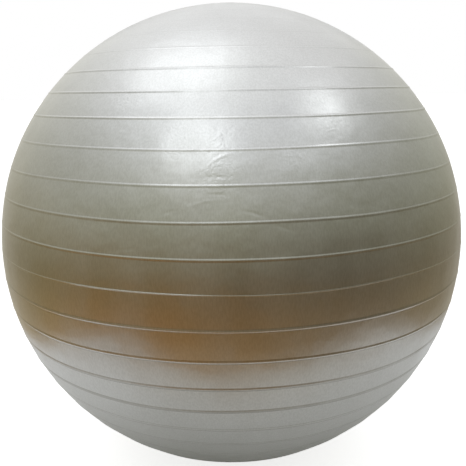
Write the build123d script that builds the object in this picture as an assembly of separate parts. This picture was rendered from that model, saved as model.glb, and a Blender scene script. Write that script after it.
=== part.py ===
"""Ribbed inflatable exercise ball, resting on a floor with its valve at the top.

Millimetres, +Z up. The origin is on the floor, under the middle of the ball, and Z is the ball's axis.
Three pieces come apart on a bench: the moulded skin, the valve seat bonded into it, and the push-in plug.
Every piece is a half section turned round the axis.
"""

import os
from math import atan2, cos, degrees, radians, sin, sqrt

from build123d import *

# The inflated skin. The radius is of the smooth skin between the ribs.
BALL_RADIUS = 325.0
WALL = 0.8

# The ball's own weight presses a small flat against the floor. The skin leaves the flat along an arc of
# half the ball's radius, as a pressurised skin does, and runs on into the sphere.
FLAT_RADIUS = 32.0
SHOULDER_RADIUS = BALL_RADIUS / 2

# Grip ribs run round the axis, the same above and below the mould's parting line. Their spacing closes a
# little towards the poles: rib k is FIRST_STEP * k - STEP_CLOSING * k^2 degrees from the parting line.
RIBS_EACH_SIDE = 11
FIRST_STEP = 6.75
STEP_CLOSING = 0.045
RIB_WIDTH = 3.2
RIB_HEIGHT = 0.8

# The two halves of the mould leave a finer raised line, a little above the middle of the resting ball.
PARTING_LATITUDE = 1.2
PARTING_WIDTH = 1.6
PARTING_HEIGHT = 0.4

# Round the valve the skin carries a slightly raised pad, with a hole for the seat.
PAD_RADIUS = 27.0
PAD_HEIGHT = 0.5
SKIN_HOLE_RADIUS = 14.0

# The valve seat: a soft moulded neck, with a flange bonded to the inside of the skin.
FLANGE_RADIUS = 24.0
FLANGE_EDGE = 0.6
FLANGE_ROOT = 3.0
NECK_RADIUS = 9.5
NECK_LENGTH = 21.0
NECK_CHAMFER = 1.5
RECESS_RADIUS = 10.3
RECESS_DEPTH = 1.8
BORE_RADIUS = 4.5
BORE_CHAMFER = 0.8

# The plug: a thin domed head that sits in the recess, and a hollow shank with sealing rings. The rings
# fill the bore but for a running clearance, and the head stays just clear of the recess's floor.
HEAD_RADIUS = 10.0
HEAD_GAP = 0.05
HEAD_RIM = 1.1
HEAD_DOME = 0.9
HEAD_CHAMFER = 0.35
SHANK_RADIUS = 4.1
SHANK_LENGTH = 18.5
SEAL_CLEARANCE = 0.05
SEAL_COUNT = 3
SEAL_PITCH = 4.4
SEAL_WIDTH = 1.8
FIRST_SEAL_DEPTH = 2.4
TIP_RADIUS = 3.1
TIP_LENGTH = 3.0
CORE_RADIUS = 2.0
CORE_DEPTH = 14.0

# The shoulder arc touches the floor at the flat's edge and the sphere from inside. That sets the height
# of the ball's centre, and the latitude where the sphere begins.
CENTRE_HEIGHT = SHOULDER_RADIUS + sqrt((BALL_RADIUS - SHOULDER_RADIUS) ** 2 - FLAT_RADIUS**2)
SHOULDER_LATITUDE = -degrees(atan2(CENTRE_HEIGHT - SHOULDER_RADIUS, FLAT_RADIUS))

INSIDE_RADIUS = BALL_RADIUS - WALL
PAD_FACE_RADIUS = BALL_RADIUS + PAD_HEIGHT
PAD_TOP = CENTRE_HEIGHT + PAD_FACE_RADIUS
RECESS_FLOOR = PAD_TOP - RECESS_DEPTH
LEVEL = Vector(1, 0, 0)


def at(radius, height):
    """A point of a half section."""
    return Vector(radius, 0, height)


def by_latitude(sphere_radius, latitude):
    """A half section's point on a sphere about the ball's centre, by its latitude in degrees."""
    angle = radians(latitude)
    return at(sphere_radius * cos(angle), CENTRE_HEIGHT + sphere_radius * sin(angle))


def by_radius(sphere_radius, radius):
    """A half section's point near the top of such a sphere, by its distance from the axis."""
    return at(radius, CENTRE_HEIGHT + sqrt(sphere_radius**2 - radius**2))


def latitude_of(point):
    """The latitude of a half section's point, in degrees."""
    return degrees(atan2(point.Z - CENTRE_HEIGHT, point.X))


def sphere_arc(start, end):
    """The arc between two half section points that lie on one sphere about the ball's centre."""
    sphere_radius = (start - at(0, CENTRE_HEIGHT)).length
    middle = (latitude_of(start) + latitude_of(end)) / 2
    return ThreePointArc(start, by_latitude(sphere_radius, middle), end)


def lines(points):
    """Straight edges from each point to the next."""
    return [Line(start, end) for start, end in zip(points, points[1:])]


def lathe(edges):
    """The solid that a closed half section sweeps round the ball's axis."""
    return revolve(Face(Wire(edges)), Axis.Z)


def ridges():
    """Every raised line round the ball as (latitude, width, height), from the bottom up."""
    offsets = [FIRST_STEP * k - STEP_CLOSING * k**2 for k in range(1, RIBS_EACH_SIDE + 1)]
    latitudes = [PARTING_LATITUDE + side * offset for offset in offsets for side in (-1, 1)]
    ribs = [(latitude, RIB_WIDTH, RIB_HEIGHT) for latitude in latitudes]
    return sorted([*ribs, (PARTING_LATITUDE, PARTING_WIDTH, PARTING_HEIGHT)])


def skin_outside():
    """The skin's outer line, from the middle of the floor flat to the edge of the valve hole."""
    flat_edge = at(FLAT_RADIUS, 0)
    here = by_latitude(BALL_RADIUS, SHOULDER_LATITUDE)
    edges = [Line(at(0, 0), flat_edge), TangentArc(flat_edge, here, tangent=LEVEL)]
    for latitude, width, height in ridges():
        half = degrees(width / 2 / BALL_RADIUS)
        foot = by_latitude(BALL_RADIUS, latitude - half)
        crest = by_latitude(BALL_RADIUS + height, latitude)
        far_foot = by_latitude(BALL_RADIUS, latitude + half)
        edges += [sphere_arc(here, foot), ThreePointArc(foot, crest, far_foot)]
        here = far_foot
    pad_foot = by_radius(BALL_RADIUS, PAD_RADIUS)
    pad_edge = by_radius(PAD_FACE_RADIUS, PAD_RADIUS - PAD_HEIGHT)
    hole_edge = by_radius(PAD_FACE_RADIUS, SKIN_HOLE_RADIUS)
    return [*edges, sphere_arc(here, pad_foot), Line(pad_foot, pad_edge), sphere_arc(pad_edge, hole_edge)]


def skin_inside():
    """The skin's inner line, from the edge of the valve hole back to the middle of the floor flat."""
    hole_edge = by_radius(INSIDE_RADIUS, SKIN_HOLE_RADIUS)
    shoulder_start = by_latitude(INSIDE_RADIUS, SHOULDER_LATITUDE)
    flat_edge = at(FLAT_RADIUS, WALL)
    return [
        sphere_arc(hole_edge, shoulder_start),
        TangentArc(flat_edge, shoulder_start, tangent=LEVEL),
        Line(flat_edge, at(0, WALL)),
    ]


def hole_wall():
    """The wall of the skin's valve hole, where the seat is bonded in."""
    outer_edge = by_radius(PAD_FACE_RADIUS, SKIN_HOLE_RADIUS)
    inner_edge = by_radius(INSIDE_RADIUS, SKIN_HOLE_RADIUS)
    return Line(outer_edge, inner_edge)


def ball_skin():
    """The one-piece moulded skin, with its ribs, parting line, valve pad and valve hole."""
    on_axis = Line(at(0, WALL), at(0, 0))
    return lathe([*skin_outside(), hole_wall(), *skin_inside(), on_axis])


def valve_seat():
    """The soft neck that the plug is pushed into, set in the skin's hole and bonded under its edge."""
    neck_end = PAD_TOP - NECK_LENGTH
    flange_top = by_radius(INSIDE_RADIUS, FLANGE_RADIUS)
    neck_top = by_radius(INSIDE_RADIUS, NECK_RADIUS)
    face_edge = by_radius(PAD_FACE_RADIUS, SKIN_HOLE_RADIUS)
    recess_edge = by_radius(PAD_FACE_RADIUS, RECESS_RADIUS)
    under_side = lines(
        [
            at(BORE_RADIUS, neck_end),
            at(NECK_RADIUS - NECK_CHAMFER, neck_end),
            at(NECK_RADIUS, neck_end + NECK_CHAMFER),
            neck_top - Vector(0, 0, FLANGE_ROOT),
            flange_top - Vector(0, 0, FLANGE_EDGE),
            flange_top,
        ]
    )
    mouth = lines(
        [
            recess_edge,
            at(RECESS_RADIUS, RECESS_FLOOR),
            at(BORE_RADIUS + BORE_CHAMFER, RECESS_FLOOR),
            at(BORE_RADIUS, RECESS_FLOOR - BORE_CHAMFER),
            at(BORE_RADIUS, neck_end),
        ]
    )
    bonded_face = sphere_arc(flange_top, by_radius(INSIDE_RADIUS, SKIN_HOLE_RADIUS))
    return lathe([*under_side, bonded_face, hole_wall(), sphere_arc(face_edge, recess_edge), *mouth])


def seal_ring(top):
    """The outline of one sealing ring on the plug's shank, from its top down."""
    seal_radius = BORE_RADIUS - SEAL_CLEARANCE
    slope = seal_radius - SHANK_RADIUS
    bottom = top - SEAL_WIDTH
    return [
        at(SHANK_RADIUS, top),
        at(seal_radius, top - slope),
        at(seal_radius, bottom + slope),
        at(SHANK_RADIUS, bottom),
    ]


def valve_plug():
    """The push-in plug: a thin domed head on a hollow shank with sealing rings and a tapered tip."""
    head_bottom = RECESS_FLOOR + HEAD_GAP
    head_top = head_bottom + HEAD_RIM
    shank_end = head_bottom - SHANK_LENGTH
    crown = at(0, head_top + HEAD_DOME)
    rim = at(HEAD_RADIUS - HEAD_CHAMFER, head_top)
    head = [
        rim,
        at(HEAD_RADIUS, head_top - HEAD_CHAMFER),
        at(HEAD_RADIUS, head_bottom + HEAD_CHAMFER),
        at(HEAD_RADIUS - HEAD_CHAMFER, head_bottom),
        at(SHANK_RADIUS, head_bottom),
    ]
    seal_tops = [head_bottom - FIRST_SEAL_DEPTH - SEAL_PITCH * ring for ring in range(SEAL_COUNT)]
    seals = [point for top in seal_tops for point in seal_ring(top)]
    tip = [at(SHANK_RADIUS, shank_end + TIP_LENGTH), at(TIP_RADIUS, shank_end)]
    core_end = at(0, shank_end + CORE_DEPTH + CORE_RADIUS)
    core = [at(CORE_RADIUS, shank_end), at(CORE_RADIUS, shank_end + CORE_DEPTH), core_end]
    return lathe([*lines([*head, *seals, *tip, *core, crown]), TangentArc(crown, rim, tangent=LEVEL)])


def main():
    os.makedirs("parts", exist_ok=True)
    for make_piece in (ball_skin, valve_seat, valve_plug):
        export_step(make_piece(), f"parts/{make_piece.__name__}.step")


main()
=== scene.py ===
# %% [markdown]
# # A ribbed exercise ball
# The ball is three pieces: a moulded vinyl skin with grip ribs, a soft valve seat bonded into the skin's
# top, and a white plug pushed into the seat. All three are turned shapes, so each begins as a half section
# drawn in a bmesh and is swept once round the ball's axis. What makes the ball look real comes after that:
# ribs that wander a little, a parting line that was trimmed by hand, dust in the corners, and a pearly
# silver finish that mirrors a whole room.
#
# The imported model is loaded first, because every size and place below is measured from it.

# %% The frame
from math import asin, atan2, cos, degrees, pi, radians, sin, sqrt, tan

import bmesh
import bpy
from mathutils import Matrix, Vector, noise


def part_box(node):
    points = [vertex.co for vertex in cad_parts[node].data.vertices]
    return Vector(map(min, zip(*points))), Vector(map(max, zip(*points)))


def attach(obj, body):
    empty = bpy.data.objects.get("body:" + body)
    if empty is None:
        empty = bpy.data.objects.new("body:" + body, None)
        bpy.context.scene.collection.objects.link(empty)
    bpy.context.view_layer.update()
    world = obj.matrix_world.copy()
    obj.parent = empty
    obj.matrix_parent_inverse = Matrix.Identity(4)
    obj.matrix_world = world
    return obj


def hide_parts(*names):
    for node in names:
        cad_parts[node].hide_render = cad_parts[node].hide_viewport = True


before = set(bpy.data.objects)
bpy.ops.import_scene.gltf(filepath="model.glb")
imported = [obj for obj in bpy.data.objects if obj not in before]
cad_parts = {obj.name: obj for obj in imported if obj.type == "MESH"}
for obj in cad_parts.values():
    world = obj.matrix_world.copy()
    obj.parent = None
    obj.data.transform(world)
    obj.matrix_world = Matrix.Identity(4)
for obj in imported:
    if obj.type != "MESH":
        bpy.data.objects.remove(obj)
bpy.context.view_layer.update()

# %% [markdown]
# ## The ball's measures
# The skin is a sphere that sits on a small flat, where the ball's weight presses it to the floor. Between
# flat and sphere runs a shoulder of half the ball's radius. The shoulder touches both, and that fixes the
# height of the ball's centre. All of it follows from the skin's box and three small sizes.

# %% Measures
MM = 0.001
_, skin_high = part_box("ball_skin")
BALL_RADIUS = round(skin_high.x, 3)
WALL = 0.8 * MM
FLAT_RADIUS = 32 * MM
SHOULDER_RADIUS = BALL_RADIUS / 2
CENTRE_HEIGHT = SHOULDER_RADIUS + sqrt((BALL_RADIUS - SHOULDER_RADIUS) ** 2 - FLAT_RADIUS**2)
SHOULDER_TURN = degrees(atan2(FLAT_RADIUS, CENTRE_HEIGHT - SHOULDER_RADIUS))
CENTRE = Vector((0, 0, CENTRE_HEIGHT))
print(f"ball radius {BALL_RADIUS} m, centre {CENTRE_HEIGHT:.4f} m up, shoulder turns {SHOULDER_TURN:.1f} deg")

# %% [markdown]
# ## Drawing a half section
# A half section could be typed in as points, but then its arcs would be only as good as the list. The spin
# operator draws an arc from a single vertex instead: it sweeps the vertex about any centre and leaves a
# chain of edges behind. So a pen is enough, a vertex that is moved along straight lines and round arcs.


# %% The pen
def start_at(bm, radius, height):
    """Puts the pen's first vertex in the XZ plane."""
    return bm.verts.new((radius, 0, height))


def line_to(bm, pen, radius, height, steps=1):
    """Draws a straight line in equal steps and returns the vertex at its end."""
    start, end = pen.co.copy(), Vector((radius, 0, height))
    for step in range(1, steps + 1):
        pen = bmesh.ops.extrude_vert_indiv(bm, verts=[pen])["verts"][0]
        pen.co = start.lerp(end, step / steps)
    return pen


def arc_by(bm, pen, turn, steps, centre=CENTRE):
    """Draws an arc about a centre, downwards on the outside where turn is positive, in degrees."""
    sweep = bmesh.ops.spin(
        bm, geom=[pen], cent=centre, axis=(0, 1, 0), angle=radians(turn), steps=steps, use_merge=False
    )
    return next(item for item in sweep["geom_last"] if isinstance(item, bmesh.types.BMVert))


def last_vertices(bm, count):
    """The vertices that the pen drew last."""
    bm.verts.ensure_lookup_table()
    return bm.verts[-count:]


# %% [markdown]
# ## Turning it into a solid
# A full spin about the ball's axis turns the half section into a closed skin. The points on the axis come
# out once for each step, so doubles are merged, and only then are the faces turned outwards. A surface that
# folds back on itself through the valve hole is one closed skin, so its inner wall comes out right too.


# %% The lathe
def turn(bm, steps):
    """Sweeps all that the pen drew round the ball's axis and closes it."""
    bmesh.ops.spin(
        bm, geom=bm.verts[:] + bm.edges[:], cent=CENTRE, axis=(0, 0, 1),
        angle=radians(360), steps=steps, use_merge=True,
    )
    bmesh.ops.remove_doubles(bm, verts=bm.verts, dist=0.005 * MM)
    bmesh.ops.recalc_face_normals(bm, faces=bm.faces)


def finished(bm, name, material, sharp=40):
    """Makes the piece's object, shaded smooth except where faces meet at more than the sharp angle."""
    mesh = bpy.data.meshes.new(name)
    bm.to_mesh(mesh)
    bm.free()
    mesh.shade_smooth()
    mesh.set_sharp_from_angle(angle=radians(sharp))
    mesh.materials.append(material)
    piece = bpy.data.objects.new(name, mesh)
    bpy.context.scene.collection.objects.link(piece)
    mesh.calc_loop_triangles()
    print(f"{name}: {len(mesh.loop_triangles)} triangles, {len(mesh.vertices)} vertices")
    return piece


# %% [markdown]
# ## Where the ribs lie
# The grip ribs are part of the mould, evenly stepped from its parting line with the steps closing a little
# towards the poles, so a formula gives their places. They are real ridges a few millimetres wide, and they
# show because one flank looks up at the ceiling and the other down at the floor. A bump map would lose them
# on the outline, so they are geometry, with eight steps across each. A guard row close beside each foot
# keeps the smooth shading of the rib from leaking into the plain skin.
#
# The mould is even, but a blown-up ball isn't: the skin stretches more in one place than in another. So a
# short table gives each rib its own height, a small straying from its place, and the painted shade on its
# back.

# %% Ribs
RIBS_EACH_SIDE = 11
FIRST_STEP = 6.75
STEP_CLOSING = 0.045
PARTING_LATITUDE = 1.2
RIB_WIDTH = 4.2 * MM
RIBS = [
    # height in mm, how far it strayed in degrees, how much painted shade darkens its back; from the floor up
    (0.30, 0, 0.02), (0.30, 0, 0.02), (0.32, 0, 0.02), (0.34, 0, 0.02), (0.36, 0, 0.04), (0.38, 0.1, 0.08),
    (0.40, 0.1, 0.08), (0.44, 0.15, 0.35), (0.33, -0.2, 0.22), (0.39, -0.05, 0), (0.41, -0.15, 0),
    (0.38, -0.3, 0), (0.27, -0.35, 0), (0.23, -0.3, 0), (0.26, 0.1, 0), (0.43, 0.15, 0), (0.50, 0, 0),
    (0.48, -0.4, 0), (0.20, -0.3, 0), (0.10, -0.25, 0), (0.08, 0, 0), (0.08, 0, 0),
]
PARTING_WIDTH = 2.0 * MM
RIB_STEPS = 8
BAND_STEPS = 4
GUARD = 0.5 * MM

rib_offsets = [FIRST_STEP * k - STEP_CLOSING * k**2 for k in range(1, RIBS_EACH_SIDE + 1)]
rib_places = sorted([PARTING_LATITUDE + side * offset for offset in rib_offsets for side in (-1, 1)])
rib_latitudes = [place + strayed for place, (_, strayed, _) in zip(rib_places, RIBS)]
print(f"{len(rib_latitudes)} ribs, from latitude {rib_latitudes[0]:.1f} to {rib_latitudes[-1]:.1f} deg")


def latitude_of(point):
    """A point's latitude on the ball, in degrees."""
    offset = point - CENTRE
    return degrees(asin(max(-1, min(1, offset.z / offset.length))))


def longitude_of(point):
    """A point's longitude in degrees, from the front of the ball, positive to the right."""
    return degrees(atan2(point.x, -point.y))


def raise_by(vertex, height):
    """Moves a vertex straight out from the ball's centre."""
    vertex.co += (vertex.co - CENTRE).normalized() * height


# %% [markdown]
# ## The skin's half section
# The pen starts at the middle of the floor inside the ball, climbs the inner wall, crosses the edge of the
# valve hole and comes down the outside, over the valve pad and then rib by rib. Each rib rises and falls as
# a sine squared, which leaves the skin without a corner, as a rib cut into a mould with a round tool does.

# %% Half section of the skin
HOLE_RADIUS = 14 * MM
PAD_RADIUS = 27 * MM
PAD_HEIGHT = 0.5 * MM
PAD_SLOPE_STEPS = 4
INSIDE_STEPS = 44
TURN_STEPS = 216


def latitude_at(radius, sphere_radius):
    """The latitude near the top where a sphere about the ball's centre has this distance from the axis."""
    return degrees(atan2(sqrt(sphere_radius**2 - radius**2), radius))


def draw_inside(bm):
    """The inner wall, from the floor's middle to the edge of the valve hole."""
    inside = BALL_RADIUS - WALL
    pen = start_at(bm, 0, WALL)
    pen = line_to(bm, pen, FLAT_RADIUS, WALL, steps=2)
    shoulder_centre = (FLAT_RADIUS, 0, SHOULDER_RADIUS)
    pen = arc_by(bm, pen, -SHOULDER_TURN, 4, shoulder_centre)
    climb = latitude_at(HOLE_RADIUS, inside) - (SHOULDER_TURN - 90)
    return arc_by(bm, pen, -climb, INSIDE_STEPS)


def draw_pad(bm, pen):
    """The edge of the valve hole and the raised pad round it, down to the plain skin."""
    face_radius = BALL_RADIUS + PAD_HEIGHT
    top, foot = latitude_at(HOLE_RADIUS, face_radius), latitude_at(PAD_RADIUS, BALL_RADIUS)
    rim = Vector((cos(radians(top)), 0, sin(radians(top)))) * face_radius + CENTRE
    pen = line_to(bm, pen, rim.x, rim.z, steps=2)
    slope = degrees(3 * PAD_HEIGHT / BALL_RADIUS)
    pen = arc_by(bm, pen, top - foot - slope, 5)
    pen = arc_by(bm, pen, slope, PAD_SLOPE_STEPS)
    for step, vertex in enumerate(last_vertices(bm, PAD_SLOPE_STEPS), start=1):
        raise_by(vertex, -PAD_HEIGHT * sin(radians(90) * step / PAD_SLOPE_STEPS) ** 2)
    return pen, foot


def draw_rib(bm, pen, width, height):
    """One ridge, from its upper foot to its lower foot, with a guard row beyond each."""
    guard = degrees(GUARD / BALL_RADIUS)
    pen = arc_by(bm, pen, guard, 1)
    pen = arc_by(bm, pen, degrees(width / BALL_RADIUS), RIB_STEPS)
    for step, vertex in enumerate(last_vertices(bm, RIB_STEPS), start=1):
        raise_by(vertex, height * sin(pi * step / RIB_STEPS) ** 2)
    return arc_by(bm, pen, guard, 1)


def draw_outside(bm, pen, latitude):
    """The ribbed outer wall, from the pad's foot to the middle of the floor flat."""
    lines = [(rib, RIB_WIDTH, height * MM) for rib, (height, *_) in zip(rib_latitudes, RIBS)]
    lines.append((PARTING_LATITUDE, PARTING_WIDTH, 0))
    for middle, width, height in sorted(lines, reverse=True):
        half = degrees((width / 2 + GUARD) / BALL_RADIUS)
        steps = max(BAND_STEPS, round((latitude - middle) / 2))
        pen = arc_by(bm, pen, latitude - middle - half, steps)
        pen = draw_rib(bm, pen, width, height)
        latitude = middle - half
    pen = arc_by(bm, pen, latitude - (SHOULDER_TURN - 90), 2 * BAND_STEPS)
    pen = arc_by(bm, pen, SHOULDER_TURN, 2 * BAND_STEPS, (FLAT_RADIUS, 0, SHOULDER_RADIUS))
    return line_to(bm, pen, 0, 0, steps=3)


skin_bm = bmesh.new()
hole_edge = draw_inside(skin_bm)
pad_foot, pad_latitude = draw_pad(skin_bm, hole_edge)
draw_outside(skin_bm, pad_foot, pad_latitude)
print("half section:", len(skin_bm.verts), "points")
turn(skin_bm, TURN_STEPS)

# %% [markdown]
# ## Making it less than perfect
# An inflated skin is never quite round. Its ribs drift by a millimetre or two, it has shallow swells where
# the vinyl is thicker, and the parting line stands proud only where the trimming knife left some behind.
# Noise that depends on the place alone gives the same ball every time. It fades out near the valve and the
# floor flat, where the shape has to stay true.
#
# Painted shade darkens the corners at the feet of the ribs, most on the ball's lower half, and the backs of a
# few ribs. The ribs' rows are still even here, before they drift, so this is the time to write on each point
# how much painted shade it gets. The finish reads that later as an attribute.

# %% Unevenness
DRIFT = 0.22
DRIFT_LENGTH = 0.16
DRIFT_HEIGHT = 0.045
SWELL = 0.45 * MM
SWELL_LENGTH = 0.11
STILL_RADIUS = 70 * MM
PROUD_STRETCHES = [(-33, -5.5), (58, 81), (128, 176), (-150, -96)]  # longitudes, from and to
PROUD_HEIGHT = 0.4 * MM
TRIMMED_HEIGHT = 0.22 * MM
# how strongly painted shade darkens the feet of the ribs, low on the ball and high up
LOW_RIB_SHADE = 1.0
HIGH_RIB_SHADE = 0.2
DARKEST_BELOW = -17


def liveliness(point):
    """How much a point of the skin may move: nothing near the axis, all of it at the equator."""
    reach = (sqrt(point.x**2 + point.y**2) - STILL_RADIUS) / (BALL_RADIUS - STILL_RADIUS)
    return max(0, reach) ** 0.5


def parting_height(longitude):
    """How far the parting line stands out of the skin."""
    proud = any(start < longitude < end for start, end in PROUD_STRETCHES)
    return PROUD_HEIGHT if proud else TRIMMED_HEIGHT


def drifted(point):
    """The point moved along its meridian, as the ribs drift."""
    offset = point - CENTRE
    place = Vector((offset.x / DRIFT_LENGTH, offset.y / DRIFT_LENGTH, offset.z / DRIFT_HEIGHT))
    drift = radians(DRIFT) * noise.noise(place) * liveliness(point)
    level = Vector((offset.y, -offset.x, 0)).normalized()
    return CENTRE + Matrix.Rotation(drift, 3, level) @ offset


def rib_shade_at(latitude):
    """How much painted shade darkens the skin here: most at the feet of the ribs, less on their backs, none
    between them.
    """
    from_rib, shade_on_back = min((abs(latitude - rib), shade_amount) for rib, (*_, shade_amount) in zip(rib_latitudes, RIBS))
    past_foot = from_rib - half_rib
    if abs(past_foot) < degrees(GUARD / 2 / BALL_RADIUS):
        return HIGH_RIB_SHADE + (LOW_RIB_SHADE - HIGH_RIB_SHADE) * max(0, min(1, latitude / DARKEST_BELOW))
    return shade_on_back if past_foot < 0 else 0


half_parting = degrees(PARTING_WIDTH / 2 / BALL_RADIUS)
half_rib = degrees(RIB_WIDTH / 2 / BALL_RADIUS)
# painted shade: each point of the outer wall records how much the rib corners and backs are darkened
rib_shade = skin_bm.verts.layers.float.new("rib_shade")
outer = [vertex for vertex in skin_bm.verts if (vertex.co - CENTRE).length > BALL_RADIUS - WALL / 2]
for vertex in outer:
    vertex[rib_shade] = rib_shade_at(latitude_of(vertex.co))
    life = liveliness(vertex.co)
    if life:
        across = (latitude_of(vertex.co) - PARTING_LATITUDE) / half_parting
        if abs(across) < 1:
            raise_by(vertex, parting_height(longitude_of(vertex.co)) * cos(radians(90) * across) ** 2)
        raise_by(vertex, SWELL * noise.noise((vertex.co - CENTRE) / SWELL_LENGTH) * life)
        vertex.co = drifted(vertex.co)
print("uneven:", len(outer), "points of the outer wall")


# %% [markdown]
# ## Small helpers for finishes
# Each finish is a Principled shader fed by a few procedural patterns. They read Object coordinates, so a
# pattern stays on its piece when the piece moves. A value that is the same all over goes on the shader's
# own socket.


# %% Material helpers
def tone(red, green, blue):
    """A colour as it is seen, 0 to 255 a channel, as the linear colour that a shader takes."""
    linear = [((c / 255 + 0.055) / 1.055) ** 2.4 if c > 10 else c / 255 / 12.92 for c in (red, green, blue)]
    return (*linear, 1)


def new_material(name, **sockets):
    """A material with its Principled shader's plain sockets set, and that shader."""
    material = bpy.data.materials.new(name)
    material.use_nodes = True
    shader = material.node_tree.nodes["Principled BSDF"]
    for socket, value in sockets.items():
        shader.inputs[socket.replace("_", " ")].default_value = value
    return material, shader


def node(tree, kind, links=None, **settings):
    """A node with its inputs linked or set by name, and its other settings."""
    made = tree.nodes.new("ShaderNode" + kind)
    for key, value in settings.items():
        setattr(made, key, value)
    for socket, value in (links or {}).items():
        if isinstance(value, bpy.types.NodeSocket):
            tree.links.new(value, made.inputs[socket])
        else:
            made.inputs[socket].default_value = value
    return made


def stretched_place(tree, stretch, centre=(0, 0, 0)):
    """Object coordinates measured from a centre and stretched."""
    place = node(tree, "TexCoord").outputs["Object"]
    moved = node(tree, "VectorMath", {0: place, 1: centre}, operation="SUBTRACT").outputs[0]
    return node(tree, "VectorMath", {0: moved, 1: stretch}, operation="MULTIPLY").outputs[0]


def blotches(tree, place, scale, detail=2.0, roughness=0.5):
    """Soft noise from 0 to 1."""
    links = {"Vector": place, "Scale": scale, "Detail": detail, "Roughness": roughness}
    return node(tree, "TexNoise", links).outputs["Fac"]


def spread(tree, value, low, high, to_low=0.0, to_high=1.0):
    """Maps a value from one range smoothly onto another."""
    links = {"Value": value, "From Min": low, "From Max": high, "To Min": to_low, "To Max": to_high}
    return node(tree, "MapRange", links, interpolation_type="SMOOTHSTEP").outputs["Result"]


def mixed_tone(tree, factor, low, high):
    """A colour between two others, each of them a tone or another node's colour."""
    return node(tree, "Mix", {"Factor": factor, "A": low, "B": high}, data_type="RGBA").outputs["Result"]


def bump(tree, height, distance, strength=1.0, normal=None):
    """A bump layer of a stated depth in metres, on top of another."""
    links = {"Height": height, "Distance": distance, "Strength": strength}
    if normal:
        links["Normal"] = normal
    return node(tree, "Bump", links).outputs["Normal"]


# %% [markdown]
# ## Creases and crinkles
# The ball lay folded in its box, and the folds left marks that air pressure doesn't quite pull out: a few
# long bowed creases, and patches of fine crinkles. They are too shallow to model, a tenth of a millimetre,
# so they are heights for a bump. A crease is an arc drawn on the skin: a point is on it when it is as far
# from the arc's centre as the bow's radius, and near enough to the arc's middle.

# %% Creases and crinkles
CREASE_WIDTH = 3.0 * MM
CREASES = [
    # latitude, longitude, heading above level, length, bow radius, height in mm; negative is a groove
    (26.1, -2.0, 25, 38, 40, 0.12), (27.2, -3.6, 27, 26, 40, -0.06), (22.4, -2.4, 1, 40, 220, -0.08),
    (19.3, -2.6, -1, 34, 300, -0.08), (18.0, -4.8, 12, 64, 95, 0.06), (15.8, 4.3, -18, 36, 120, -0.10),
    (13.0, 9.7, -22, 34, 110, -0.07), (16.0, -11.8, 18, 26, 160, -0.06), (24.9, -37.0, 4, 34, 260, -0.07),
    (31.0, -24.0, -6, 20, 200, 0.07), (9.0, -20.0, 8, 46, 180, -0.05), (-9.0, 18.0, -12, 40, 140, 0.04),
    (21.0, 78.0, 30, 48, 60, 0.11), (14.0, 96.0, -8, 60, 120, -0.08), (34.0, 128.0, 14, 44, 80, 0.10),
    (-6.0, 142.0, 40, 52, 90, -0.08), (24.0, 172.0, -20, 56, 110, 0.11), (4.0, -158.0, 10, 48, 150, -0.09),
    (38.0, -140.0, -34, 40, 70, 0.10), (-14.0, -112.0, 22, 50, 100, 0.07), (12.0, -84.0, -14, 44, 130, -0.08),
]
CRINKLED_PATCHES = [
    # latitude, longitude, radius in mm
    (29.5, -4, 42), (37.5, 21.5, 34), (32.5, 23, 28), (26, 13, 26), (29.5, -11, 34), (38, -26, 30),
    (22.5, -2.5, 32), (30, 100, 48), (5, 140, 56), (40, -110, 50), (-15, 170, 56), (25, -160, 50),
    (-5, -80, 46),
]


def maths(tree, operation, first, second=0.0):
    """The result of one Math node."""
    return node(tree, "Math", {0: first, 1: second}, operation=operation).outputs[0]


def on_ball(latitude, longitude):
    """A point of the smooth skin."""
    across = cos(radians(latitude))
    level = Vector((sin(radians(longitude)), -cos(radians(longitude)), 0)) * across
    return CENTRE + (level + Vector((0, 0, sin(radians(latitude))))) * BALL_RADIUS


def nearness(tree, place, middle, reach):
    """One at a point, falling smoothly to nothing at a distance from it."""
    away = node(tree, "VectorMath", {0: place, 1: middle}, operation="DISTANCE").outputs["Value"]
    return spread(tree, away, 0, reach, 1, 0)


def crease(tree, place, latitude, longitude, heading, length, bow, height):
    """The height of one bowed crease, in millimetres."""
    middle = on_ball(latitude, longitude)
    east = Vector((cos(radians(longitude)), sin(radians(longitude)), 0))
    north = (middle - CENTRE).normalized().cross(east)
    bulge = north * cos(radians(heading)) - east * sin(radians(heading))
    bow_centre = middle - bulge * bow * MM
    away = node(tree, "VectorMath", {0: place, 1: bow_centre}, operation="DISTANCE").outputs["Value"]
    off_line = maths(tree, "ABSOLUTE", maths(tree, "SUBTRACT", away, bow * MM))
    line = spread(tree, off_line, 0, CREASE_WIDTH, height, 0)
    return maths(tree, "MULTIPLY", line, nearness(tree, place, middle, length / 2 * MM))


def crease_heights(tree, place):
    """All the creases, in millimetres."""
    total = 0.0
    for each in CREASES:
        total = maths(tree, "ADD", crease(tree, place, *each), total)
    return total


def crinkled(tree, place):
    """Where the skin is crinkled, from 0 to 1."""
    mask = 0.0
    for latitude, longitude, radius in CRINKLED_PATCHES:
        near = nearness(tree, place, on_ball(latitude, longitude), radius * MM)
        mask = maths(tree, "MAXIMUM", near, mask)
    return mask


# %% [markdown]
# ## Pearl vinyl
# The skin is vinyl filled with a silver pearl pigment. Light goes in and comes back off tiny flakes, so it
# behaves like a rough metal under a thin clear skin. Metallic near one with a middling roughness gives the
# soft wide reflections, and a weak coat gives the sharper sheen on top. The rest is in the detail: flakes
# that sparkle a little, cloudy pigment, patchy painted shade that darkens the feet of the ribs, a fine grain
# drawn out up and down, and the marks of the folds. All the heights are added up in millimetres and go
# through a single bump.


# %% Pearl vinyl
DULL_SILVER = tone(200, 200, 198)
BRIGHT_SILVER = tone(217, 217, 216)
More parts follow.
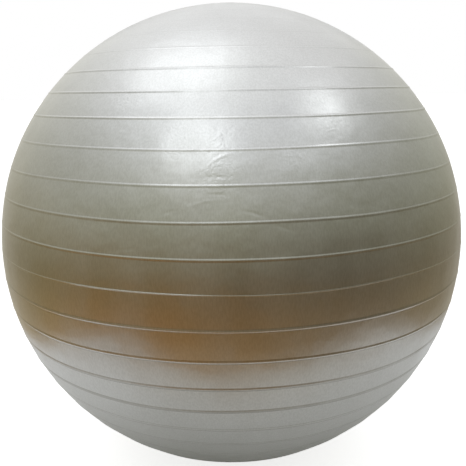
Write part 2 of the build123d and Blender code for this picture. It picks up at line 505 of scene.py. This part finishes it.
# the colour that the painted shade at the ribs darkens towards
PAINTED_SHADE_TONE = tone(134, 130, 122)
CLOUD_SHARE = 0.4
FLAKE_SHARE = 0.6
DRAWN_OUT = (1, 1, 0.3)
GRAIN_HEIGHT = 0.055
PILLOW_HEIGHT = 0.065
PILLOW_JUMBLE = 12 * MM
CRINKLED_EVERYWHERE = 0.08


def silver(tree, place, drawn_out):
    """The pigment's colour, cloudy and flaky, darkened with patchy painted shade at the feet and backs of the
    ribs.
    """
    clouds = spread(tree, blotches(tree, place, scale=7, detail=3), 0.3, 0.7)
    flakes = spread(tree, blotches(tree, drawn_out, scale=620, detail=2), 0.3, 0.7)
    cloudy = maths(tree, "MULTIPLY", clouds, CLOUD_SHARE)
    shade = maths(tree, "ADD", cloudy, maths(tree, "MULTIPLY", flakes, FLAKE_SHARE))
    clean = mixed_tone(tree, shade, DULL_SILVER, BRIGHT_SILVER)
    # painted shade: the base colour is darkened at the feet and backs of the ribs
    shade_amount = node(tree, "Attribute", attribute_name="rib_shade").outputs["Fac"]
    patchy_shade = maths(tree, "MULTIPLY", shade_amount, spread(tree, clouds, 0, 1, 0.74, 0.94))
    return mixed_tone(tree, patchy_shade, clean, PAINTED_SHADE_TONE)


def crinkle_heights(tree, place):
    """Small uneven pillows, in millimetres: strong in the crinkled patches and faint everywhere else."""
    jumble = node(tree, "TexNoise", {"Vector": place, "Scale": 90.0, "Detail": 2.0}).outputs["Color"]
    jumbled = node(tree, "VectorMath", {0: jumble, "Scale": PILLOW_JUMBLE}, operation="SCALE").outputs[0]
    shifted = node(tree, "VectorMath", {0: place, 1: jumbled}, operation="ADD").outputs[0]
    cells = node(tree, "TexVoronoi", {"Vector": shifted, "Scale": 150.0}, feature="DISTANCE_TO_EDGE")
    pillows = spread(tree, cells.outputs["Distance"], 0, 0.35, 0, PILLOW_HEIGHT)
    where = maths(tree, "ADD", crinkled(tree, place), CRINKLED_EVERYWHERE)
    return maths(tree, "MULTIPLY", pillows, where)


def pearl_vinyl():
    """The silver skin's finish."""
    material, shader = new_material(
        "pearl_vinyl", Metallic=0.96, Coat_Weight=0.12, Coat_Roughness=0.22, Coat_IOR=1.5
    )
    tree = material.node_tree
    place = stretched_place(tree, (1, 1, 1))
    drawn_out = stretched_place(tree, DRAWN_OUT)
    tree.links.new(silver(tree, place, drawn_out), shader.inputs["Base Color"])
    haze = blotches(tree, drawn_out, scale=22, detail=5)
    tree.links.new(spread(tree, haze, 0.25, 0.75, 0.28, 0.38), shader.inputs["Roughness"])
    ripples = blotches(tree, place, scale=26, detail=2)
    grain = maths(tree, "MULTIPLY", blotches(tree, drawn_out, scale=260, detail=3), GRAIN_HEIGHT)
    height = crease_heights(tree, place)
    for layer in (ripples, grain, crinkle_heights(tree, place)):
        height = maths(tree, "ADD", height, layer)
    tree.links.new(bump(tree, height, MM), shader.inputs["Normal"])
    return material


skin = finished(skin_bm, "moulded_skin", pearl_vinyl())
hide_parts("ball_skin")
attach(skin, "ball")

# %% [markdown]
# ## The valve seat
# The seat is a softer moulding with a thick flange bonded under the skin and a neck that hangs inside. Only
# its face shows: a disc flush with the pad, a round recess for the plug's head, and the bore. It is drawn
# with the same pen. The corners are rounded afterwards with a bevel on the edges that the spin left sharp.

# %% Half section of the seat
FLANGE_RADIUS = 24 * MM
FLANGE_EDGE = 0.6 * MM
FLANGE_ROOT = 3.0 * MM
NECK_RADIUS = 9.5 * MM
NECK_CHAMFER = 1.5 * MM
RECESS_RADIUS = 10.3 * MM
RECESS_DEPTH = 1.8 * MM
BORE_RADIUS = 4.5 * MM
BORE_CHAMFER = 0.8 * MM
VALVE_STEPS = 64
EDGE_ROUND = 0.25 * MM

seat_low, seat_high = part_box("valve_seat")
PAD_TOP = CENTRE_HEIGHT + BALL_RADIUS + PAD_HEIGHT
RECESS_FLOOR = PAD_TOP - RECESS_DEPTH
print(f"seat: {1000 * (seat_high.z - seat_low.z):.1f} mm deep, recess floor at {RECESS_FLOOR:.4f} m")


def height_at(radius, sphere_radius):
    """The height near the top of a sphere about the ball's centre, at a distance from the axis."""
    return CENTRE_HEIGHT + sqrt(sphere_radius**2 - radius**2)


def round_edges(bm, size, segments=2, sharper_than=30):
    """Bevels every edge where the surface turns by more than an angle."""
    corners = [edge for edge in bm.edges if edge.calc_face_angle(0) > radians(sharper_than)]
    bmesh.ops.bevel(
        bm, geom=corners, offset=size, segments=segments, affect="EDGES", profile=0.5, material=-1,
        clamp_overlap=True,
    )


def seat_section(bm):
    """The seat's closed half section, once round from the neck's end."""
    inside, face = BALL_RADIUS - WALL, BALL_RADIUS + PAD_HEIGHT
    first = start_at(bm, BORE_RADIUS, seat_low.z)
    corners = [
        (NECK_RADIUS - NECK_CHAMFER, seat_low.z),
        (NECK_RADIUS, seat_low.z + NECK_CHAMFER),
        (NECK_RADIUS, height_at(NECK_RADIUS, inside) - FLANGE_ROOT),
        (FLANGE_RADIUS, height_at(FLANGE_RADIUS, inside) - FLANGE_EDGE),
        (FLANGE_RADIUS, height_at(FLANGE_RADIUS, inside)),
        (HOLE_RADIUS, height_at(HOLE_RADIUS, inside)),
        (HOLE_RADIUS, height_at(HOLE_RADIUS, face)),
        (RECESS_RADIUS, height_at(RECESS_RADIUS, face)),
        (RECESS_RADIUS, RECESS_FLOOR),
        (BORE_RADIUS + BORE_CHAMFER, RECESS_FLOOR),
        (BORE_RADIUS, RECESS_FLOOR - BORE_CHAMFER),
    ]
    pen = first
    for radius, height in corners:
        pen = line_to(bm, pen, radius, height)
    bm.edges.new((pen, first))


seat_bm = bmesh.new()
seat_section(seat_bm)
turn(seat_bm, VALVE_STEPS)
round_edges(seat_bm, EDGE_ROUND)


# %% [markdown]
# ## Finishes for the valve
# The seat is plain vinyl with no pearl in it, so it is a little darker and more matt than the skin. The plug
# is glossy white polyethylene that has picked up fine scratches and a faint yellow cast.


# %% Seat vinyl and plug plastic
def seat_vinyl():
    """The valve seat's finish."""
    material, shader = new_material("seat_vinyl", Metallic=0.35, Coat_Weight=0.1, Coat_Roughness=0.3)
    tree = material.node_tree
    place = stretched_place(tree, (1, 1, 1))
    clouds = spread(tree, blotches(tree, place, scale=120, detail=3), 0.3, 0.7)
    grey = mixed_tone(tree, clouds, tone(176, 175, 168), tone(190, 189, 183))
    tree.links.new(grey, shader.inputs["Base Color"])
    tree.links.new(spread(tree, clouds, 0, 1, 0.42, 0.52), shader.inputs["Roughness"])
    grain = bump(tree, blotches(tree, place, scale=1400, detail=2), 0.03 * MM)
    tree.links.new(grain, shader.inputs["Normal"])
    return material


def plug_plastic():
    """The white plug's finish."""
    material, shader = new_material("plug_plastic", Subsurface_Weight=0.12, Subsurface_Scale=0.002, IOR=1.51)
    tree = material.node_tree
    place = stretched_place(tree, (1, 1, 1))
    scratched = stretched_place(tree, (1, 6, 1))
    clouds = spread(tree, blotches(tree, place, scale=160, detail=2), 0.3, 0.7)
    white = mixed_tone(tree, clouds, tone(232, 230, 222), tone(240, 239, 234))
    tree.links.new(white, shader.inputs["Base Color"])
    scratches = blotches(tree, scratched, scale=700, detail=4)
    tree.links.new(spread(tree, scratches, 0.35, 0.65, 0.26, 0.4), shader.inputs["Roughness"])
    tree.links.new(bump(tree, scratches, 0.015 * MM), shader.inputs["Normal"])
    return material


seat = finished(seat_bm, "seat_insert", seat_vinyl(), sharp=50)
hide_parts("valve_seat")
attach(seat, "ball")

# %% [markdown]
# ## The plug
# The plug is a thin domed head on a hollow shank with three sealing rings and a tapered tip. Its head is
# dished in the middle and sits in the seat's recess, and a fingernail gets under it at a small scallop in
# the rim. The half section is drawn from the middle of the dish, over the dome and round the rim, down the
# shank, and back up the hollow core.

# %% Half section of the plug
plug_low, plug_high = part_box("valve_plug")
HEAD_RADIUS = plug_high.x
HEAD_RIM = 1.1 * MM
HEAD_DOME = 0.9 * MM
HEAD_BOTTOM = plug_high.z - HEAD_DOME - HEAD_RIM
SHANK_RADIUS = 4.1 * MM
SEAL_RADIUS = 4.45 * MM
SEAL_COUNT = 3
SEAL_PITCH = 4.4 * MM
SEAL_WIDTH = 1.8 * MM
FIRST_SEAL_DEPTH = 2.4 * MM
TIP_RADIUS = 3.1 * MM
TIP_LENGTH = 3.0 * MM
CORE_RADIUS = 2.0 * MM
CORE_TOP = plug_low.z + 14 * MM
DISH_DEPTH = 0.35 * MM
DISH_RADIUS = 6.2 * MM
DISH_SLOPE = 1.2 * MM
DOME_STEPS = 4


def seal_corners(top):
    """The outline of one sealing ring, from its top down."""
    slope = SEAL_RADIUS - SHANK_RADIUS
    bottom = top - SEAL_WIDTH
    return [
        (SHANK_RADIUS, top), (SEAL_RADIUS, top - slope),
        (SEAL_RADIUS, bottom + slope), (SHANK_RADIUS, bottom),
    ]


def plug_section(bm):
    """The plug's half section, from the middle of the head to the end of the core."""
    pen = start_at(bm, 0, plug_high.z - DISH_DEPTH)
    pen = line_to(bm, pen, DISH_RADIUS - DISH_SLOPE, plug_high.z - DISH_DEPTH, steps=3)
    for step in range(DOME_STEPS + 1):
        radius = DISH_RADIUS + (HEAD_RADIUS - DISH_RADIUS) * step / DOME_STEPS
        pen = line_to(bm, pen, radius, plug_high.z - HEAD_DOME * (radius / HEAD_RADIUS) ** 2)
    corners = [(HEAD_RADIUS, HEAD_BOTTOM), (SHANK_RADIUS, HEAD_BOTTOM)]
    for ring in range(SEAL_COUNT):
        corners += seal_corners(HEAD_BOTTOM - FIRST_SEAL_DEPTH - SEAL_PITCH * ring)
    corners += [
        (SHANK_RADIUS, plug_low.z + TIP_LENGTH), (TIP_RADIUS, plug_low.z), (CORE_RADIUS, plug_low.z),
        (CORE_RADIUS, CORE_TOP), (0, CORE_TOP + CORE_RADIUS),
    ]
    for radius, height in corners:
        pen = line_to(bm, pen, radius, height)


# %% Scallop and finished plug
SCALLOP_DEPTH = 0.55 * MM
SCALLOP_HALF_ANGLE = 14
SCALLOP_REACH = 0.8 * HEAD_RADIUS


def cut_scallop(bm):
    """Lifts the rim's lower edge over a small stretch, for a fingernail."""
    for vertex in bm.verts:
        at_rim = sqrt(vertex.co.x**2 + vertex.co.y**2) > SCALLOP_REACH
        on_lower_edge = vertex.co.z < HEAD_BOTTOM + HEAD_RIM / 2
        across = degrees(atan2(vertex.co.x, vertex.co.y)) / SCALLOP_HALF_ANGLE
        if at_rim and on_lower_edge and abs(across) < 1:
            vertex.co.z += SCALLOP_DEPTH * cos(radians(90) * across) ** 2


plug_bm = bmesh.new()
plug_section(plug_bm)
turn(plug_bm, VALVE_STEPS)
round_edges(plug_bm, EDGE_ROUND / 2)
cut_scallop(plug_bm)
plug = finished(plug_bm, "pushed_in_plug", plug_plastic(), sharp=50)
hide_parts("valve_plug")
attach(plug, "plug")

# %% [markdown]
# ## The floor
# The floor is plain and pale, and large enough to reach the horizon. It shows the ball's contact shadow. The
# ball reflects the room's own ground instead, so the floor is kept out of glossy reflections.


# %% Floor
def pale_floor():
    """The floor's finish: almost white, with the faintest cloudiness."""
    material, shader = new_material(
        "pale_floor", Roughness=0.85, Emission_Color=(1, 1, 1, 1), Emission_Strength=0.75
    )
    tree = material.node_tree
    place = stretched_place(tree, (1, 1, 1))
    paint = mixed_tone(tree, blotches(tree, place, scale=3), tone(196, 196, 196), tone(202, 202, 202))
    tree.links.new(paint, shader.inputs["Base Color"])
    return material


FLOOR_SIZE = 40
floor_bm = bmesh.new()
bmesh.ops.create_grid(floor_bm, x_segments=1, y_segments=1, size=FLOOR_SIZE)
floor = finished(floor_bm, "studio_floor", pale_floor())
floor.visible_glossy = False

# %% [markdown]
# ## The paper sweep in the reflections
# The ball's underside mirrors the pale paper that it lies on, darkened by the ball's own shadow, and its rim
# mirrors the same paper where it sweeps up behind. The paper ends a little way out in front and at the
# sides, and the room's brown ground begins. It is a little greyer in front, and its colour carries painted
# light: a painted brown glow of the ground at its front corners, and painted light that makes it lighter
# towards the back and the left. The sweep is drawn with the pen too: a line, a quarter turn and a line,
# extruded sideways. Only reflections see it.


# %% Paper of the sweep
FRONT_PAPER = tone(188, 181, 170)
MIDDLE_PAPER = tone(222, 222, 221)
LIT_PAPER = tone(243, 243, 245)
CORNER_PAPER = tone(140, 116, 84)
MOTTLING = 0.1


def paper_light(tree, place, sideways, depth):
    """How much painted light lightens the paper: more to the back and the left, and a little mottled."""
    light = spread(tree, depth, -0.2, 0.5, 0, 0.9)
    light = maths(tree, "ADD", light, spread(tree, sideways, -0.5, 0, 0.3, 0))
    return maths(tree, "ADD", light, maths(tree, "MULTIPLY", blotches(tree, place, scale=4), MOTTLING))


def front_corners(tree, sideways, depth):
    """One towards the paper's two front corners, where the ground's brown glow is painted on."""
    outwards = spread(tree, maths(tree, "ABSOLUTE", sideways), 0.22, 0.6)
    return maths(tree, "MULTIPLY", outwards, spread(tree, depth, -0.5, -0.1, 0.75, 0))


def sweep_paper():
    """The reflected paper's finish."""
    material, shader = new_material("sweep_paper", Roughness=0.9)
    tree = material.node_tree
    place = stretched_place(tree, (1, 1, 1))
    sideways, depth, _ = node(tree, "SeparateXYZ", {"Vector": place}).outputs
    paper = mixed_tone(tree, spread(tree, depth, -0.5, -0.25), FRONT_PAPER, MIDDLE_PAPER)
    # painted light: the paper's colour is lightened towards the back and the left
    paper = mixed_tone(tree, paper_light(tree, place, sideways, depth), paper, LIT_PAPER)
    # painted light: the ground's brown glow is painted into the paper's front corners
    paper = mixed_tone(tree, front_corners(tree, sideways, depth), paper, CORNER_PAPER)
    tree.links.new(paper, shader.inputs["Base Color"])
    return material


# %% Paper sweep
SWEEP_LEFT = -0.55
SWEEP_RIGHT = 0.60
SWEEP_FRONT = -0.49
SWEEP_BACK = 0.8
SWEEP_BEND = 0.4
SWEEP_TOP = 1.2
SWEEP_BEND_STEPS = 12
ABOVE_FLOOR = 0.2 * MM

sweep_bm = bmesh.new()
pen = start_at(sweep_bm, SWEEP_FRONT, ABOVE_FLOOR)
pen = line_to(sweep_bm, pen, SWEEP_BACK, ABOVE_FLOOR)
pen = arc_by(sweep_bm, pen, -90, SWEEP_BEND_STEPS, (SWEEP_BACK, 0, SWEEP_BEND + ABOVE_FLOOR))
line_to(sweep_bm, pen, SWEEP_BACK + SWEEP_BEND, SWEEP_TOP)
to_the_back = Matrix.Rotation(radians(90), 3, "Z")
bmesh.ops.rotate(sweep_bm, cent=(0, 0, 0), matrix=to_the_back, verts=sweep_bm.verts)
bmesh.ops.translate(sweep_bm, vec=(SWEEP_LEFT, 0, 0), verts=sweep_bm.verts)
widened = bmesh.ops.extrude_edge_only(sweep_bm, edges=sweep_bm.edges[:])["geom"]
far_side = [item for item in widened if isinstance(item, bmesh.types.BMVert)]
bmesh.ops.translate(sweep_bm, vec=(SWEEP_RIGHT - SWEEP_LEFT, 0, 0), verts=far_side)
bmesh.ops.recalc_face_normals(sweep_bm, faces=sweep_bm.faces)
sweep = finished(sweep_bm, "paper_sweep", sweep_paper())
sweep.visible_camera = False
sweep.visible_shadow = False
sweep.visible_diffuse = False

# %% [markdown]
# ## The room that the ball reflects
# A shiny ball shows the whole room, so the room decides its look: a brown floor out beyond the paper,
# grey-green walls that lighten upwards, and a white ceiling. A square room seen from its middle is enough.
# Each of its four walls has bands of colour by height, and a direction takes from each wall as the square of
# the cosine of the angle between them, which adds up to one all round. The bands' colours weren't chosen by
# hand: they were measured and fitted with scratch scripts over many test renders, so they aren't round.
#
# Three corrections go on top, each a soft lobe about a level direction, between two heights: a little shade
# high up at both sides and low down in front, and a paler far wall, which the ball's rim mirrors. The camera
# sees plain white instead of all this.


# %% Helpers for the room
def bands(tree, height, stops):
    """Colour by the sine of the height above the horizon."""
    ramp = node(tree, "ValToRGB", {"Fac": height})
    elements = ramp.color_ramp.elements
    while len(elements) < len(stops):
        elements.new(0.5)
    for element, (elevation, seen) in zip(elements, stops):
        element.position = (sin(radians(elevation)) + 1) / 2
        element.color = tone(*seen)
    return ramp.outputs["Color"]


def towards(tree, level, bearing):
    """How far a level direction points along a bearing: one along it, and nothing from a right angle on."""
    along = (sin(radians(bearing)), -cos(radians(bearing)), 0)
    facing = node(tree, "VectorMath", {0: level, 1: along}, operation="DOT_PRODUCT").outputs["Value"]
    return maths(tree, "MAXIMUM", facing, 0.0)


def lobe(tree, ahead, sharpness, up, heights):
    """A soft patch of the room, one in its middle. It starts, is full, fades and ends at the heights."""
    start, full, fade, end = heights
    high_enough = spread(tree, up, start, full)
    low_enough = spread(tree, up, fade, end, 1, 0)
    between = maths(tree, "MULTIPLY", high_enough, low_enough)
    return maths(tree, "MULTIPLY", maths(tree, "POWER", ahead, sharpness), between)


# %% Walls
WALL_BEARINGS = (-40, 50, 140, -130)
ROOM_BANDS = [
    # height, front left wall, front right wall, back right wall, back left wall
    (-90, (138, 128, 116), (132, 124, 116), (156, 152, 146), (164, 160, 154)),
    (-50, (118, 84, 14), (104, 78, 32), (140, 112, 74), (152, 120, 80)),
    (-36, (117, 79, 2), (92, 67, 20), (124, 102, 70), (138, 112, 74)),
    (-24, (114, 75, 0), (80, 59, 18), (108, 96, 68), (118, 102, 64)),
    (-12, (87, 69, 26), (53, 44, 24), (95, 84, 60), (99, 88, 56)),
    (0, (107, 97, 73), (74, 68, 50), (116, 114, 92), (130, 125, 103)),
    (12, (129, 129, 110), (101, 101, 83), (148, 149, 136), (160, 159, 146)),
    (24, (156, 157, 144), (135, 135, 121), (168, 168, 160), (171, 171, 163)),
    (36, (175, 176, 170), (164, 166, 162), (184, 185, 183), (196, 197, 193)),
    (48, (203, 206, 207), (198, 200, 202), (203, 203, 203), (218, 219, 220)),
    (60, (205, 207, 210), (188, 189, 191), (206, 206, 207), (222, 223, 225)),
    (90, (229, 231, 232), (223, 225, 226), (224, 225, 226), (229, 231, 233)),
]

world = bpy.data.worlds.new("room")
bpy.context.scene.world = world
world.use_nodes = True
tree = world.node_tree
tree.nodes.clear()
direction = node(tree, "TexCoord").outputs["Generated"]
across, along, up = node(tree, "SeparateXYZ", {"Vector": direction}).outputs
height = node(tree, "MapRange", {"Value": up, "From Min": -1.0, "From Max": 1.0}).outputs["Result"]
flat = node(tree, "CombineXYZ", {"X": across, "Y": along}).outputs[0]
level = node(tree, "VectorMath", {0: flat}, operation="NORMALIZE").outputs[0]
room = (0, 0, 0)
for column, bearing in enumerate(WALL_BEARINGS, start=1):
    colour = bands(tree, height, [(row[0], row[column]) for row in ROOM_BANDS])
    share = maths(tree, "POWER", towards(tree, level, bearing), 2.0)
    lit = node(tree, "VectorMath", {0: colour, "Scale": share}, operation="SCALE").outputs[0]
    room = node(tree, "VectorMath", {0: room, 1: lit}, operation="ADD").outputs[0]
print(f"room: {len(WALL_BEARINGS)} walls, {len(ROOM_BANDS)} bands each")

# %% Shades and far wall
BLACK = (0, 0, 0, 1)
SIDE_SHADE = 0.2
SIDE_SHARPNESS = 6.0
SIDE_HEIGHTS = (0, 0.35, 0.55, 0.9)
FRONT_SHADE = 0.2
FRONT_SHARPNESS = 12.0
FRONT_HEIGHTS = (-0.75, -0.5, -0.25, 0)
FAR_BEARING = -178
FAR_SHARPNESS = 4.5
FAR_HEIGHTS = (-0.7, -0.25, 0.5, 0.8)
FAR_BANDS = [(-20, (222, 219, 210)), (-4, (200, 198, 190)), (16, (203, 203, 199)), (34, (224, 224, 226))]
ROOM_STRENGTH = 1.6

sideways = maths(tree, "ABSOLUTE", node(tree, "SeparateXYZ", {"Vector": level}).outputs["X"])
sides = lobe(tree, sideways, SIDE_SHARPNESS, up, SIDE_HEIGHTS)
room = mixed_tone(tree, maths(tree, "MULTIPLY", sides, SIDE_SHADE), room, BLACK)
front = lobe(tree, towards(tree, level, 0), FRONT_SHARPNESS, up, FRONT_HEIGHTS)
room = mixed_tone(tree, maths(tree, "MULTIPLY", front, FRONT_SHADE), room, BLACK)
behind = lobe(tree, towards(tree, level, FAR_BEARING), FAR_SHARPNESS, up, FAR_HEIGHTS)
room = mixed_tone(tree, behind, room, bands(tree, height, FAR_BANDS))

room_light = node(tree, "Background", {"Color": room, "Strength": ROOM_STRENGTH})
backdrop = node(tree, "Background", {"Color": (1, 1, 1, 1), "Strength": 1.0})
camera_ray = node(tree, "LightPath").outputs["Is Camera Ray"]
seen = node(tree, "MixShader", {0: camera_ray, 1: room_light.outputs[0], 2: backdrop.outputs[0]})
node(tree, "OutputWorld", {"Surface": seen.outputs[0]})
print("world:", len(tree.nodes), "nodes")

# %% [markdown]
# ## Lights
# Four soft ceiling lights make the highlights: a large one overhead, a little to the left and behind, one
# to the right, one in front, and a faint one between those two. Each is a disc-shaped area light aimed at
# the ball's centre, a touch cooler than white. How large a light is decides how soft its highlight gets.


# %% Lights
COOL_WHITE = (0.93, 0.97, 1.0)
LIGHT_DISTANCE = 2.6


def soft_light(name, bearing, elevation, size, power):
    """An area light aimed at the ball. The bearing is from the front, positive to the right."""
    data = bpy.data.lights.new(name, "AREA")
    data.color = COOL_WHITE
    data.shape = "DISK"
    data.size = size
    data.energy = power
    lamp = bpy.data.objects.new(name, data)
    across, up = cos(radians(elevation)), sin(radians(elevation))
    aim = Vector((across * sin(radians(bearing)), -across * cos(radians(bearing)), up))
    lamp.location = CENTRE + aim * LIGHT_DISTANCE
    lamp.rotation_euler = aim.to_track_quat("Z", "Y").to_euler()
    bpy.context.scene.collection.objects.link(lamp)
    print(f"{name}: {size} m wide, {power} W, {lamp.location.z:.2f} m up")


soft_light("overhead_light", bearing=-92, elevation=73, size=1.7, power=4.1)
soft_light("right_light", bearing=74, elevation=53, size=0.62, power=2.0)
soft_light("front_light", bearing=-22, elevation=50, size=1.1, power=3.2)
soft_light("faint_light", bearing=43, elevation=42, size=0.5, power=0.22)

# %% [markdown]
# ## The camera
# The camera stands about a metre away and a little above the ball, close enough that the ball fills the
# frame and the ribs curve strongly. It leans by less than a degree, and a tiny shift frames the ball.

# %% Camera
DISTANCE = 2.96 * BALL_RADIUS
ELEVATION = 12.594
LEAN = -0.88
HALF_VIEW = 20.0
SENSOR_WIDTH = 36
camera_data = bpy.data.cameras.new("camera")
camera_data.sensor_width = SENSOR_WIDTH
camera_data.lens = SENSOR_WIDTH / 2 / tan(radians(HALF_VIEW))
camera_data.shift_x = 0.0036
camera_data.shift_y = -0.0015
camera = bpy.data.objects.new("camera", camera_data)
sight = Vector((0, -cos(radians(ELEVATION)), sin(radians(ELEVATION))))
camera.location = CENTRE + sight * DISTANCE
upright = sight.to_track_quat("Z", "Y").to_matrix()
camera.rotation_euler = (upright @ Matrix.Rotation(radians(LEAN), 3, "Z")).to_euler()
bpy.context.scene.collection.objects.link(camera)
bpy.context.scene.camera = camera
bpy.context.scene.view_settings.view_transform = "Standard"
print(f"camera: {DISTANCE:.3f} m from the ball's centre, {camera.location.z:.3f} m up")
